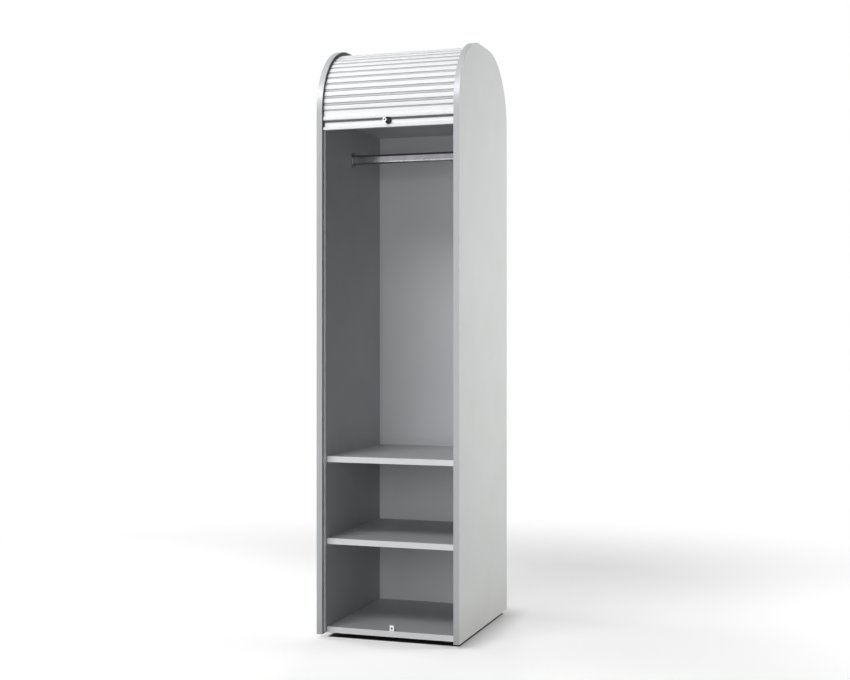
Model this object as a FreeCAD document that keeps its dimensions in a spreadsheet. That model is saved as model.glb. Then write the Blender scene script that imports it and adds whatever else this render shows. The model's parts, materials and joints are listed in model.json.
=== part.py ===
import FreeCAD, Part
import math
import operator
import os

import Sketcher
from FreeCAD import Placement, Rotation, Vector

# Tambour wardrobe. Millimetres, X across, Y from front to back, Z up.
# The origin is on the floor at the centre of the cabinet's footprint.

# Driving sizes: name, value, meaning
SIZES = [
    ("width", 460, "outside width over the side panels"),
    ("depth", 545, "front to rear edge of the side panels"),
    ("side_height", 1834, "height of the side panels"),
    ("side_lift", 12, "lower edge of the side panels above the floor"),
    ("board", 18, "thickness of the boards"),
    ("corner_radius", 220, "radius of the rounded top corners"),
    ("band", 2, "thickness of the edge bands"),
    ("glide_height", 10, "height of the glides"),
    ("glide_radius", 16, "radius of the glides"),
    ("glide_inset", 40, "glide axis from the edges of the bottom panel"),
    ("shelf_setback", 43, "front edges of the shelves behind the front plane"),
    ("lower_bay", 257, "clear height under the lower shelf"),
    ("middle_bay", 237, "clear height between the shelves"),
    ("ceiling_drop", 18, "underside of the ceiling below the start of the arch"),
    ("inner_back", 8, "thickness of the inner back"),
    ("outer_back", 5, "thickness of the outer back"),
    ("outer_back_inset", 3, "outer back in front of the rear edges"),
    ("outer_back_drop", 14, "top of the outer back below the start of the arch"),
    ("back_groove", 6, "depth of the grooves that hold the backs"),
    ("back_gap", 3, "inner back in front of the shutter groove"),
    ("back_play", 0.2, "play of the backs at the ends of their grooves"),
    ("groove_lip", 12, "wall of the side panel outside the shutter groove"),
    ("groove_width", 11, "width of the shutter groove"),
    ("groove_depth", 7, "depth of the shutter groove"),
    ("groove_play", 0.5, "play of slats and shoes against the groove walls"),
    ("slat_end_play", 0.6, "play at the ends of the slats and shoes"),
    ("slat_pitch", 22.5, "distance from slat to slat"),
    ("slat_land", 15.5, "width of the raised part of a slat"),
    ("slat_wall", 1.8, "wall of a slat"),
    ("slat_step", 4, "height of the raised part above the laps"),
    ("slat_chamfer", 1.2, "edge break of the raised part"),
    ("lap_length", 5.6, "length of the laps that join two slats"),
    ("lap_play", 0.6, "gap between two laps"),
    ("rail_height", 58, "height of the end rail"),
    ("rail_front", 6.4, "lip and nose of the end rail behind the front plane"),
    ("rail_rise", 0, "top of the end rail above the start of the arch, when open"),
    ("rail_end_play", 0.7, "guide shoe to side panel"),
    ("lip_height", 7, "height of the end rail's lower lip"),
    ("cove_height", 20, "height of the finger cove"),
    ("cove_radius", 11, "radius of the finger cove"),
    ("cove_back", 6, "upper edge of the cove behind the lip"),
    ("nose_gap", 2, "slot between cove and nose"),
    ("nose_height", 12, "height of the nose"),
    ("nose_radius", 3, "rounding of the nose"),
    ("rail_wall", 2.5, "wall round the end rail's chamber"),
    ("shoe_plate", 1.2, "end plate of a guide shoe"),
    ("lock_height", 20.5, "lock axis above the lower edge of the end rail"),
    ("lock_front", 4.5, "front of the lock cylinder behind the front plane"),
    ("lock_radius", 9, "radius of the lock cylinder"),
    ("lock_length", 22, "length of the lock cylinder without its bolt"),
    ("lock_stroke", 10, "travel of the lock cylinder"),
    ("lock_play", 0.05, "radial play of the lock's moving pieces"),
    ("lock_stop", 0.2, "room left behind the pressed cylinder"),
    ("housing_front", 15, "front of the lock housing behind the front plane"),
    ("housing_wall", 1.5, "wall of the lock housing"),
    ("bolt_radius", 3, "radius of the bolt"),
    ("bolt_gap", 2.5, "tip of the drawn bolt in front of the shelves"),
    ("plug_radius", 5, "radius of the plug"),
    ("plug_length", 16, "length of the plug"),
    ("plug_proud", 0.5, "plug in front of the cylinder"),
    ("key_width", 7, "height of the key's blade"),
    ("key_thickness", 2.2, "thickness of the key"),
    ("key_play", 0.1, "play of the key in the plug"),
    ("key_depth", 14, "length of the blade inside the plug"),
    ("bow_reach", 4.5, "rear face of the folded bow in front of the front plane"),
    ("bow_offset", 9.5, "centre of the folded bow beside the lock axis"),
    ("bow_radius", 7, "radius of the bow"),
    ("bow_hole", 2, "radius of the hole in the bow"),
    ("striker_width", 14, "width of the striker"),
    ("striker_height", 17, "height of the striker's upright"),
    ("striker_sheet", 2, "sheet of the striker"),
    ("striker_foot", 24, "depth of the striker's foot"),
    ("striker_screw_gap", 6, "screws from the striker's bend and from its heel"),
    ("striker_inset", 3.5, "striker behind the front edge of the bottom panel"),
    ("striker_hole", 3.5, "radius of the hole for the bolt"),
    ("striker_hole_height", 8, "bolt hole above the bottom panel"),
    ("tube_height", 30, "height of the oval hanging rail"),
    ("tube_width", 15, "width of the oval hanging rail"),
    ("tube_wall", 1.2, "wall of the hanging rail"),
    ("tube_drop", 104, "axis of the hanging rail below the ceiling"),
    ("tube_forward", 15, "axis of the hanging rail in front of mid depth"),
    ("cup_plate", 3, "plate of a rail support"),
    ("cup_margin", 10, "plate beyond the rail, all round"),
    ("cup_wall", 2, "wall of a rail support's collar"),
    ("cup_length", 12, "length of a rail support's collar"),
    ("cup_play", 0.1, "play of the rail in its support"),
    ("pin_radius", 2.5, "radius of the shelf pins"),
    ("pin_seat", 8, "length of a pin in the side panel"),
    ("pin_reach", 9, "length of a pin under the shelf"),
    ("pin_inset", 60, "pins from the front and rear edges of a shelf"),
    ("dowel_radius", 4, "radius of the dowels"),
    ("dowel_side", 10, "length of a dowel in the side panel"),
    ("dowel_end", 20, "length of a dowel in the board"),
    ("dowel_inset", 96, "dowels from the front and rear edges of a board"),
    ("cam_radius", 7.5, "radius of the cam housings"),
    ("cam_depth", 13, "depth of the cam housings"),
    ("cam_reach", 34, "cam axis from the end of its board"),
    ("cam_inset", 50, "cams from the front and rear edges of a board"),
    ("cam_bolt_radius", 3, "radius of the cam bolts"),
    ("cam_bolt_seat", 10, "length of a cam bolt in the side panel"),
    ("screw_radius", 1.75, "radius of the small screws"),
    ("screw_length", 13, "length of the small screws"),
    ("screw_head", 3.4, "radius of the countersunk heads"),
    ("screw_sink", 1.6, "depth of the countersunk heads"),
    ("screw_play", 0.05, "radial play of the screws in their holes"),
]

# Slats that stay behind the outer back when the shutter is closed
TAIL_SLATS = 2

OPERATIONS = {"+": operator.add, "-": operator.sub, "*": operator.mul, "/": operator.truediv}


class Dim:
    """A size, with the spreadsheet expression that it comes from."""

    def __init__(self, value, text):
        self.value = value
        self.text = text

    def __float__(self):
        return self.value

    def __add__(self, other):
        return combine(self, "+", other)

    def __radd__(self, other):
        return combine(other, "+", self)

    def __sub__(self, other):
        return combine(self, "-", other)

    def __rsub__(self, other):
        return combine(other, "-", self)

    def __mul__(self, other):
        return combine(self, "*", other)

    def __rmul__(self, other):
        return combine(other, "*", self)

    def __truediv__(self, other):
        return combine(self, "/", other)

    def __neg__(self):
        return combine(0, "-", self)


def as_dim(size):
    if isinstance(size, Dim):
        return size
    return Dim(float(size), str(float(size)))


def combine(first, sign, second):
    first = as_dim(first)
    second = as_dim(second)
    value = OPERATIONS[sign](first.value, second.value)
    return Dim(value, f"({first.text} {sign} {second.text})")


doc = FreeCAD.newDocument("TambourWardrobe")
sheet = doc.addObject("Spreadsheet::Sheet", "dims")


def write_sheet():
    """Put the driving sizes in the sheet and give each back as a Dim."""
    for row, (name, value, meaning) in enumerate(SIZES, start=1):
        sheet.set(f"A{row}", meaning)
        sheet.set(f"B{row}", str(value))
        sheet.setAlias(f"B{row}", name)
    doc.recompute()
    return {name: Dim(float(sheet.get(name)), f"dims.{name}") for name, value, meaning in SIZES}


d = write_sheet()

# Levels and planes that several pieces share
front = -d["depth"] / 2
rear = d["depth"] / 2
inner_half = d["width"] / 2 - d["board"]
side_bottom = d["side_lift"]
side_top = d["side_lift"] + d["side_height"]
arch_start = side_top - d["corner_radius"]
bottom_under = d["glide_height"]
bottom_top = bottom_under + d["board"]
lower_shelf_under = bottom_top + d["lower_bay"]
upper_shelf_under = lower_shelf_under + d["board"] + d["middle_bay"]
ceiling_under = arch_start - d["ceiling_drop"]
shelf_front = front + d["shelf_setback"]
groove_inside = d["groove_lip"] + d["groove_width"]
inner_back_rear = rear - groove_inside - d["back_gap"]
inner_back_front = inner_back_rear - d["inner_back"]
outer_back_rear = rear - d["outer_back_inset"]
outer_back_front = outer_back_rear - d["outer_back"]
outer_back_top = arch_start - d["outer_back_drop"]
tube_axis_y = -d["tube_forward"]
tube_axis_z = ceiling_under - d["tube_drop"]

# The shutter's travel
rail_bottom = arch_start + d["rail_rise"] - d["rail_height"]
rail_closed = bottom_top + d["striker_hole_height"] - d["lock_height"]
rail_travel = rail_bottom - rail_closed
lock_axis_z = rail_bottom + d["lock_height"]
striker_axis_z = bottom_top + d["striker_hole_height"]

# The path of the slats: up the front, round the top and down the rear
path_inset = d["groove_lip"] + d["groove_width"] / 2
path_radius = float(d["corner_radius"] - path_inset)
path_flat = float(d["depth"] - 2 * d["corner_radius"])
quarter = path_radius * math.pi / 2
arch_length = 2 * quarter + path_flat
pitch = float(d["slat_pitch"])
path_start = float(d["rail_rise"] + (d["slat_pitch"] - d["slat_land"]) / 2)
arch_slats = int((arch_length - path_start) / pitch)
rear_slats = int(float(rail_travel) / pitch) + TAIL_SLATS
rear_run_bottom = float(arch_start) - (path_start + (arch_slats + rear_slats) * pitch - arch_length)
rear_groove_end = rear_run_bottom - pitch / 2

nodes = []


def node(obj):
    """Mark an object as one of the wardrobe's pieces."""
    nodes.append(obj)
    return obj


def bind(obj, path, size):
    obj.setExpression(path, as_dim(size).text)


def place(obj, corner):
    for axis, size in zip("xyz", corner):
        bind(obj, f"Placement.Base.{axis}", size)


# Sketches and features


def sketch_on(body, role, offset):
    """A sketch on one of the body's origin planes, moved along its normal."""
    plane = next(item for item in body.Origin.OriginFeatures if item.Role == role)
    sketch = body.newObject("Sketcher::SketchObject", "Sketch")
    sketch.AttachmentSupport = [(plane, "")]
    sketch.MapMode = "FlatFace"
    bind(sketch, "AttachmentOffset.Base.z", offset)
    return sketch


def constrain(sketch, rules):
    """Add constraints; a rule is (constraint, size to bind it to or None)."""
    indices = sketch.addConstraint([rule for rule, size in rules])
    for index, (rule, size) in zip(indices, rules):
        if size is not None:
            bind(sketch, f"Constraints[{index}]", size)


def arc_between(begin, end, radius, turn):
    """The short arc from begin to end; turn is 1 counter-clockwise, -1 clockwise."""
    chord = end - begin
    left = Vector(-chord.y, chord.x, 0).normalize()
    rise = math.sqrt(radius**2 - (chord.Length / 2) ** 2)
    centre = (begin + end) / 2 + left * rise * turn
    first, last = (begin, end) if turn > 0 else (end, begin)
    angles = [math.atan2(point.y - centre.y, point.x - centre.x) for point in (first, last)]
    return Part.ArcOfCircle(Part.Circle(centre, Vector(0, 0, 1), radius), *angles)


def draw_loop(sketch, points, arcs=None):
    """A closed outline. arcs maps a point's index to (radius, turn) of the arc that starts there."""
    arcs = arcs or {}
    places = [Vector(float(across), float(up), 0) for across, up in points]
    count = len(points)
    shapes = []
    for index, begin in enumerate(places):
        end = places[(index + 1) % count]
        if index in arcs:
            radius, turn = arcs[index]
            shapes.append(arc_between(begin, end, float(radius), turn))
        else:
            shapes.append(Part.LineSegment(begin, end))
    ids = sketch.addGeometry(shapes, False)

    def start_and_end(index):
        backwards = index in arcs and arcs[index][1] < 0
        return (2, 1) if backwards else (1, 2)

    rules = []
    for index in range(count):
        following = (index + 1) % count
        join = (ids[index], start_and_end(index)[1], ids[following], start_and_end(following)[0])
        rules.append((Sketcher.Constraint("Coincident", *join), None))
    for index, (across, up) in enumerate(points):
        corner = (-1, 1, ids[index], start_and_end(index)[0])
        rules.append((Sketcher.Constraint("DistanceX", *corner, float(across)), across))
        rules.append((Sketcher.Constraint("DistanceY", *corner, float(up)), up))
    for index, (radius, turn) in arcs.items():
        rules.append((Sketcher.Constraint("Radius", ids[index], float(radius)), radius))
    constrain(sketch, rules)


def draw_circles(sketch, centres, radius):
    circles = []
    for across, up in centres:
        centre = Vector(float(across), float(up), 0)
        circles.append(Part.Circle(centre, Vector(0, 0, 1), float(radius)))
    ids = sketch.addGeometry(circles, False)
    rules = []
    for index, (across, up) in zip(ids, centres):
        rules.append((Sketcher.Constraint("DistanceX", -1, 1, index, 3, float(across)), across))
        rules.append((Sketcher.Constraint("DistanceY", -1, 1, index, 3, float(up)), up))
        rules.append((Sketcher.Constraint("Radius", index, float(radius)), radius))
    constrain(sketch, rules)


def draw_oval(sketch, centre, width, height):
    """An upright oval with round ends."""
    y, z = centre
    half = width / 2
    straight = height / 2 - half
    points = [
        (y + half, z - straight),
        (y + half, z + straight),
        (y, z + straight + half),
        (y - half, z + straight),
        (y - half, z - straight),
        (y, z - straight - half),
    ]
    draw_loop(sketch, points, {index: (half, 1) for index in (1, 2, 4, 5)})


def rectangle(low, high):
    return [(low[0], low[1]), (high[0], low[1]), (high[0], high[1]), (low[0], high[1])]


def pad(body, sketch, length):
    feature = body.newObject("PartDesign::Pad", "Pad")
    feature.Profile = sketch
    bind(feature, "Length", length)
    return feature


def pocket(body, sketch, length, reverse=False):
    feature = body.newObject("PartDesign::Pocket", "Pocket")
    feature.Profile = sketch
    feature.Reversed = reverse
    bind(feature, "Length", length)
    return feature


def new_body(label):
    return node(doc.addObject("PartDesign::Body", label))


# Primitives, cuts and groups


def block(label, low, high):
    """A board, given by its low and high corners."""
    box = doc.addObject("Part::Box", label)
    for name, begin, end in zip(("Length", "Width", "Height"), low, high):
        bind(box, name, end - begin)
    place(box, low)
    return box


TURNS = {
    "x": Rotation(Vector(0, 1, 0), 90),
    "-x": Rotation(Vector(0, 1, 0), -90),
    "y": Rotation(Vector(1, 0, 0), -90),
    "z": Rotation(),
    "-z": Rotation(Vector(1, 0, 0), 180),
}


def rod(label, base, axis, radius, length):
    """A cylinder that starts at base and runs along axis."""
    cylinder = doc.addObject("Part::Cylinder", label)
    bind(cylinder, "Radius", radius)
    bind(cylinder, "Height", length)
    cylinder.Placement = Placement(Vector(), TURNS[axis])
    place(cylinder, base)
    return cylinder


def fuse(label, shapes):
    union = doc.addObject("Part::MultiFuse", label)
    union.Shapes = shapes
    return union


def cut(label, base, tools):
    result = doc.addObject("Part::Cut", label)
    result.Base = base
    result.Tool = tools[0] if len(tools) == 1 else fuse(f"{label}_tools", tools)
    return result


def group(label, shapes):
    """Identical small pieces that share one node."""
    compound = doc.addObject("Part::Compound", label)
    compound.Links = shapes
    return node(compound)


def mirrored(label, source):
    copy = doc.addObject("Part::Mirroring", label)
    copy.Source = source
    copy.Base = Vector(0, 0, 0)
    copy.Normal = Vector(1, 0, 0)
    return node(copy)


# Outlines in the plane of the side panels


def arch_corners(inset, low_front, low_rear):
    """Outline inside the side panel's edge by inset, from the front foot round to the rear foot."""
    return [
        (front + inset, low_front),
        (front + inset, arch_start),
        (front + d["corner_radius"], side_top - inset),
        (rear - d["corner_radius"], side_top - inset),
        (rear - inset, arch_start),
        (rear - inset, low_rear),
    ]


def draw_arch(sketch, inset, low):
    radius = d["corner_radius"] - inset
    draw_loop(sketch, arch_corners(inset, low, low), {1: (radius, -1), 3: (radius, -1)})


def draw_arch_strip(sketch, outer, inner, low_front, low_rear):
    """The strip between two such outlines."""
    there = arch_corners(outer, low_front, low_rear)
    back = arch_corners(inner, low_front, low_rear)[::-1]
    outer_radius = d["corner_radius"] - outer
    inner_radius = d["corner_radius"] - inner
    arcs = {1: (outer_radius, -1), 3: (outer_radius, -1), 7: (inner_radius, 1), 9: (inner_radius, 1)}
    draw_loop(sketch, there + back, arcs)


# Places of the fasteners along the depth of a board


def ends_of(inset):
    return (shelf_front + inset, inner_back_front - inset)


pin_places = [
    (y, under - d["pin_radius"])
    for under in (lower_shelf_under, upper_shelf_under)
    for y in ends_of(d["pin_inset"])
]
fixed_boards = {"bottom_panel": bottom_under, "ceiling_panel": ceiling_under}
dowel_places = {
    name: [(y, under + d["board"] / 2) for y in ends_of(d["dowel_inset"])]
    for name, under in fixed_boards.items()
}
cam_places = {
    name: [(y, under + d["board"] / 2) for y in ends_of(d["cam_inset"])]
    for name, under in fixed_boards.items()
}
cup_screw_places = [
    (tube_axis_y, tube_axis_z + side * (d["tube_height"] / 2 + d["cup_margin"] / 2 + d["cup_wall"] / 2))
    for side in (1, -1)
]
screw_hole = d["screw_radius"] + d["screw_play"]


# Carcass


def side_panel():
    body = new_body("left_side_panel")
    outside = -d["width"] / 2
    inside = -inner_half
    outline = sketch_on(body, "YZ_Plane", outside)
    draw_arch(outline, d["band"], side_bottom)
    pad(body, outline, d["board"])

    groove = sketch_on(body, "YZ_Plane", inside)
    front_groove_end = rail_closed - d["groove_play"]
    draw_arch_strip(groove, d["groove_lip"], groove_inside, front_groove_end, rear_groove_end)
    pocket(body, groove, d["groove_depth"])

    backs = sketch_on(body, "YZ_Plane", inside)
    inner_back_top = ceiling_under + d["board"]
    draw_loop(backs, rectangle((inner_back_front, bottom_top), (inner_back_rear, inner_back_top)))
    draw_loop(backs, rectangle((outer_back_front, side_bottom), (outer_back_rear, outer_back_top)))
    pocket(body, backs, d["back_groove"])

    holes = [
        (pin_places, d["pin_radius"], d["pin_seat"]),
        (sum(dowel_places.values(), []), d["dowel_radius"], d["dowel_side"]),
        (sum(cam_places.values(), []), d["cam_bolt_radius"], d["cam_bolt_seat"]),
        (cup_screw_places, screw_hole, d["screw_length"] - d["cup_plate"] + d["screw_play"]),
    ]
    for places, radius, depth in holes:
        drilled = sketch_on(body, "YZ_Plane", inside)
        draw_circles(drilled, places, radius)
        pocket(body, drilled, depth)
    mirrored("right_side_panel", body)


def edge_band():
    body = new_body("left_edge_band")
    strip = sketch_on(body, "YZ_Plane", -d["width"] / 2)
    draw_arch_strip(strip, as_dim(0), d["band"], side_bottom, side_bottom)
    pad(body, strip, d["board"])
    mirrored("right_edge_band", body)


def board_tools(name, under):
    """Dowel, cam and cam bolt holes in the two ends of a fixed board."""
    tools = []
    for side, axis in ((-1, "x"), (1, "-x")):
        end = side * inner_half
        for y, z in dowel_places[name]:
            tools.append(rod("dowel_hole", (end, y, z), axis, d["dowel_radius"], d["dowel_end"]))
        for y, z in cam_places[name]:
            tools.append(rod("bolt_hole", (end, y, z), axis, d["cam_bolt_radius"], d["cam_reach"]))
            well = (end - side * d["cam_reach"], y, under)
            tools.append(rod("cam_hole", well, "z", d["cam_radius"], d["cam_depth"]))
    return tools


def screw_wells():
    """Pilot holes for the striker's screws in the bottom panel."""
    depth = d["screw_length"] - d["striker_sheet"] + d["screw_play"]
    mouths = [(as_dim(0), y, bottom_top) for y in striker_screw_places]
    return [rod("pilot_hole", mouth, "-z", screw_hole, depth) for mouth in mouths]


striker_front = shelf_front + d["striker_inset"]
striker_screw_places = [
    striker_front + d["striker_sheet"] + d["striker_screw_gap"],
    striker_front + d["striker_foot"] - d["striker_screw_gap"],
]


def carcass_boards():
    board_front = shelf_front + d["band"]
    bottom_low = (-inner_half, board_front, bottom_under)
    bottom = block("bottom_board", bottom_low, (inner_half, outer_back_front, bottom_top))
    node(cut("bottom_panel", bottom, board_tools("bottom_panel", bottom_under) + screw_wells()))

    ceiling_low = (-inner_half, shelf_front, ceiling_under)
    ceiling_high = (inner_half, inner_back_front, ceiling_under + d["board"])
    ceiling = block("ceiling_board", ceiling_low, ceiling_high)
    node(cut("ceiling_panel", ceiling, board_tools("ceiling_panel", ceiling_under)))

    for name, under in (("lower_shelf", lower_shelf_under), ("upper_shelf", upper_shelf_under)):
        high = (inner_half, inner_back_front, under + d["board"])
        node(block(name, (-inner_half, board_front, under), high))
    banded = {"bottom": bottom_under, "lower_shelf": lower_shelf_under, "upper_shelf": upper_shelf_under}
    for name, under in banded.items():
        high = (inner_half, board_front, under + d["board"])
        node(block(f"{name}_edge_band", (-inner_half, shelf_front, under), high))


def backs():
    reach = inner_half + d["back_groove"] - d["back_play"]
    inner_high = (reach, inner_back_rear, ceiling_under + d["board"])
    node(block("inner_back_panel", (-reach, inner_back_front, bottom_top), inner_high))
    outer_high = (reach, outer_back_rear, outer_back_top - d["back_play"])
    node(block("outer_back_panel", (-reach, outer_back_front, side_bottom), outer_high))


def glides():
    feet = []
    for side in (-1, 1):
        for y in (shelf_front + d["glide_inset"], outer_back_front - d["glide_inset"]):
            base = (side * (inner_half - d["glide_inset"]), y, as_dim(0))
            feet.append(rod("glide", base, "z", d["glide_radius"], d["glide_height"]))
    group("glides", feet)


def shelf_pins():
    pins = []
    for side, axis in ((-1, "x"), (1, "-x")):
        for y, z in pin_places:
            base = (side * (inner_half + d["pin_seat"]), y, z)
            pins.append(rod("shelf_pin", base, axis, d["pin_radius"], d["pin_seat"] + d["pin_reach"]))
    group("shelf_pins", pins)


def dowels():
    pegs = []
    for side, axis in ((-1, "x"), (1, "-x")):
        for y, z in sum(dowel_places.values(), []):
            base = (side * (inner_half + d["dowel_side"]), y, z)
            pegs.append(rod("dowel", base, axis, d["dowel_radius"], d["dowel_side"] + d["dowel_end"]))
    group("dowels", pegs)


def cams():
    """Cam housings in the undersides of the boards and the bolts that they draw in."""
    housings = []
    bolts = []
    bolt_reach = d["cam_bolt_seat"] + d["cam_reach"] - d["cam_radius"]
    for side, axis in ((-1, "x"), (1, "-x")):
        for name, under in fixed_boards.items():
            for y, z in cam_places[name]:
                well = (side * (inner_half - d["cam_reach"]), y, under)
                housings.append(rod("cam_housing", well, "z", d["cam_radius"], d["cam_depth"]))
                seat = (side * (inner_half + d["cam_bolt_seat"]), y, z)
                bolts.append(rod("cam_bolt", seat, axis, d["cam_bolt_radius"], bolt_reach))
    group("cam_housings", housings)
    group("cam_bolts", bolts)


# Small screws


def screw(point, axis):
    """A countersunk screw whose flat head is at point and whose shank runs along axis."""
    head = doc.addObject("Part::Cone", "screw_head")
    bind(head, "Radius1", d["screw_head"])
    bind(head, "Radius2", d["screw_radius"])
    bind(head, "Height", d["screw_sink"])
    head.Placement = Placement(Vector(), TURNS[axis])
    place(head, point)
    shank = rod("screw_shank", point, axis, d["screw_radius"], d["screw_length"])
    return fuse("screw", [head, shank])


def screw_sink(point, axis, length):
    """The hole that such a screw passes through."""
    head = doc.addObject("Part::Cone", "sink_head")
    bind(head, "Radius1", d["screw_head"] + d["screw_play"])
    bind(head, "Radius2", screw_hole)
    bind(head, "Height", d["screw_sink"])
    head.Placement = Placement(Vector(), TURNS[axis])
    place(head, point)
    return [head, rod("sink_hole", point, axis, screw_hole, length)]


# Hanging rail


def hanging_rail():
    centre = (tube_axis_y, tube_axis_z)
    half = inner_half - d["cup_plate"]
    body = new_body("hanging_rail")
    section = sketch_on(body, "YZ_Plane", -half)
    draw_oval(section, centre, d["tube_width"], d["tube_height"])
    walls = 2 * d["tube_wall"]
    draw_oval(section, centre, d["tube_width"] - walls, d["tube_height"] - walls)
    pad(body, section, 2 * half)


def rail_supports():
    centre = (tube_axis_y, tube_axis_z)
    cup = doc.addObject("PartDesign::Body", "cup")
    plate = sketch_on(cup, "YZ_Plane", -inner_half)
    margin = 2 * d["cup_margin"]
    draw_oval(plate, centre, d["tube_width"] + margin / 2, d["tube_height"] + margin)
    pad(cup, plate, d["cup_plate"])
    collar = sketch_on(cup, "YZ_Plane", -inner_half + d["cup_plate"])
    hole = 2 * d["cup_play"]
    wall = hole + 2 * d["cup_wall"]
    draw_oval(collar, centre, d["tube_width"] + wall, d["tube_height"] + wall)
    draw_oval(collar, centre, d["tube_width"] + hole, d["tube_height"] + hole)
    pad(cup, collar, d["cup_length"])
    face = -inner_half + d["cup_plate"]
    sinks = []
    for y, z in cup_screw_places:
        sinks += screw_sink((face, y, z), "-x", d["cup_plate"])
    left = node(cut("left_rail_support", cup, sinks))
    mirrored("right_rail_support", left)
    screws = []
    for side, axis in ((-1, "-x"), (1, "x")):
        for y, z in cup_screw_places:
            screws.append(screw((side * (inner_half - d["cup_plate"]), y, z), axis))
    group("support_screws", screws)


# Striker


def striker():
    low = bottom_top
    high = bottom_top + d["striker_height"]
    sheet_top = bottom_top + d["striker_sheet"]
    bend = striker_front + d["striker_sheet"]
    heel = striker_front + d["striker_foot"]
    profile = [
        (striker_front, low),
        (heel, low),
        (heel, sheet_top),
        (bend, sheet_top),
        (bend, high),
        (striker_front, high),
    ]
    angle = doc.addObject("PartDesign::Body", "striker_angle")
    section = sketch_on(angle, "YZ_Plane", -d["striker_width"] / 2)
    draw_loop(section, profile)
    pad(angle, section, d["striker_width"])
    hole = sketch_on(angle, "XZ_Plane", -striker_front)
    draw_circles(hole, [(as_dim(0), striker_axis_z)], d["striker_hole"])
    pocket(angle, hole, d["striker_sheet"])
    sinks = []
    screws = []
    for y in striker_screw_places:
        sinks += screw_sink((as_dim(0), y, sheet_top), "-z", d["striker_sheet"])
        screws.append(screw((as_dim(0), y, sheet_top), "-z"))
    node(cut("striker_plate", angle, sinks))
    group("striker_screws", screws)


# Shutter


def slat_section():
    """Outline of one slat: along the path, and outwards from it."""
    half = float(d["slat_land"]) / 2
    outer = float(d["groove_width"]) / 2 - float(d["groove_play"])
    web = outer - float(d["slat_step"])
    mid = (web - outer) / 2
    gap = float(d["lap_play"]) / 2
    lap = half + float(d["lap_length"])
    wall = float(d["slat_wall"])
    edge = float(d["slat_chamfer"])
    return [
        (-lap, web),
        (-half, web),
        (-half, outer - edge),
        (-half + edge, outer),
        (half - edge, outer),
        (half, outer - edge),
        (half, mid - gap),
        (lap, mid - gap),
        (lap, -outer),
        (half - wall, -outer),
        (half - wall, outer - wall),
        (-half + wall, outer - wall),
        (-half + wall, -outer),
        (-half, -outer),
        (-half, mid + gap),
        (-lap, mid + gap),
    ]


def path_point(run):
    """Place on the slats' path, run mm after the start of the arch, and the path's angle there."""
    front_centre = float(front + d["corner_radius"])
    rear_centre = float(rear - d["corner_radius"])
    level = float(arch_start)
    if run < quarter:
        angle = run / path_radius
        place_yz = (front_centre - path_radius * math.cos(angle), level + path_radius * math.sin(angle))
        return place_yz, 90 - math.degrees(angle)
    if run < quarter + path_flat:
        return (front_centre + run - quarter, level + path_radius), 0
    angle = (run - quarter - path_flat) / path_radius
    if angle < math.pi / 2:
        place_yz = (rear_centre + path_radius * math.sin(angle), level + path_radius * math.cos(angle))
        return place_yz, -math.degrees(angle)
    return (rear_centre + path_radius, level - (run - arch_length)), -90


def slat_run(label, first, count):
    """The slats numbered from first on, each set on the path."""
    half_length = float(inner_half + d["groove_depth"] - d["slat_end_play"])
    corners = [Vector(-half_length, along, out) for along, out in slat_section()]
    face = Part.Face(Part.makePolygon(corners + corners[:1]))
    slat = face.extrude(Vector(2 * half_length, 0, 0))
    slats = []
    for number in range(first, first + count):
        (y, z), angle = path_point(path_start + (number + 0.5) * pitch)
        copy = slat.copy()
        copy.Placement = Placement(Vector(0, y, z), Rotation(Vector(1, 0, 0), angle))
        slats.append(copy)
    feature = doc.addObject("Part::Feature", label)
    feature.Shape = Part.makeCompound(slats)
    return node(feature)


slat_face = front + d["groove_lip"] + d["groove_play"]
rail_rear = front + groove_inside - d["groove_play"]
lap_thickness = (d["groove_width"] - d["slat_step"] - d["lap_play"]) / 2 - d["groove_play"]


def draw_rail(sketch):
    """Section of the end rail: lower lip, finger cove, nose, flat top and the lap for the first slat."""
    lip = front + d["rail_front"]
    cove_top = lip + d["cove_back"]
    level = [rail_bottom, rail_bottom + d["lip_height"]]
    for step in ("cove_height", "nose_gap", "nose_height"):
        level.append(level[-1] + d[step])
    top = rail_bottom + d["rail_height"]
    rounding = d["nose_radius"]
    points = [
        (rail_rear, top + d["lap_length"]),
        (rail_rear - lap_thickness, top + d["lap_length"]),
        (rail_rear - lap_thickness, top),
        (slat_face, top),
        (slat_face, level[4]),
        (lip + rounding, level[4]),
        (lip, level[4] - rounding),
        (lip, level[3] + rounding),
        (lip + rounding, level[3]),
        (cove_top, level[3]),
        (cove_top, level[2]),
        (lip, level[1]),
        (lip, level[0]),
        (rail_rear, level[0]),
    ]
    arcs = {5: (rounding, 1), 7: (rounding, 1), 10: (d["cove_radius"], -1)}
    draw_loop(sketch, points, arcs)
    return level, top


def end_rail():
    half = inner_half - d["rail_end_play"] - d["shoe_plate"]
    body = new_body("end_rail")
    section = sketch_on(body, "YZ_Plane", -half)
    level, top = draw_rail(section)
    wall = d["rail_wall"]
    chamber_low = (slat_face + wall, level[3] + wall)
    draw_loop(section, rectangle(chamber_low, (rail_rear - wall, top - wall)))
    pad(body, section, 2 * half)
    bore = sketch_on(body, "XZ_Plane", -front)
    draw_circles(bore, [(as_dim(0), lock_axis_z)], housing_radius)
    pocket(body, bore, groove_inside + d["rail_front"])


def guide_shoes():
    half = inner_half - d["rail_end_play"]
    tip = inner_half + d["groove_depth"] - d["slat_end_play"]
    body = new_body("left_guide_shoe")
    plate = sketch_on(body, "YZ_Plane", -half)
    draw_rail(plate)
    pad(body, plate, d["shoe_plate"])
    tongue = sketch_on(body, "YZ_Plane", -tip)
    draw_loop(tongue, rectangle((slat_face, rail_bottom), (rail_rear, rail_bottom + d["rail_height"])))
    pad(body, tongue, tip - half)
    mirrored("right_guide_shoe", body)


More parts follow.
